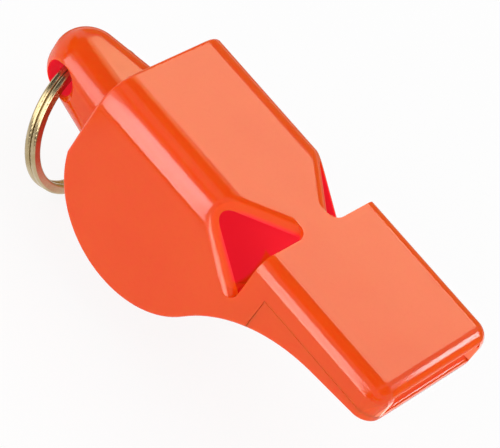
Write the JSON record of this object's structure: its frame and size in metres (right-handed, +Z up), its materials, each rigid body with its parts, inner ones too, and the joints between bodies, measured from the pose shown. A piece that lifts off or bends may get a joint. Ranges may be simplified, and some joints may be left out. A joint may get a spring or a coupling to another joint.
{
  "type": "training whistle",
  "caption": "Compact pealess training whistle with a rounded barrel, sloping side windows, a flat mouthpiece and a split ring in its rear lug.",
  "frame": {"origin": "on the flat deck, on its centre line, above the front edge of the side windows", "axes": "+X towards the mouth, +Y to the left of someone who looks along +X, +Z up out of the deck"},
  "size_m": [0.0524, 0.0193, 0.0247],
  "materials": {
    "shell_plastic": "glossy injection-moulded orange plastic",
    "cover_plastic": "glossy injection-moulded orange plastic",
    "insert_plastic": "glossy injection-moulded orange plastic",
    "jaw_plastic": "glossy injection-moulded orange plastic",
    "ring_metal": "polished nickel-plated wire with a pale brass tone"
  },
  "bodies": {
    "whistle": {"body_shell": "shell_plastic", "belly_cover": "cover_plastic", "windway_insert": "insert_plastic", "mouthpiece_floor": "jaw_plastic"},
    "ring": {"split_ring": "ring_metal"}
  },
  "joints": [
    {"name": "ring_swing", "type": "hinge", "parent": "whistle", "child": "ring", "pos_m": [-0.0307, 0, -0.0105], "axis": [0, 1, 0], "range_deg": [-31, 230]}
  ]
}
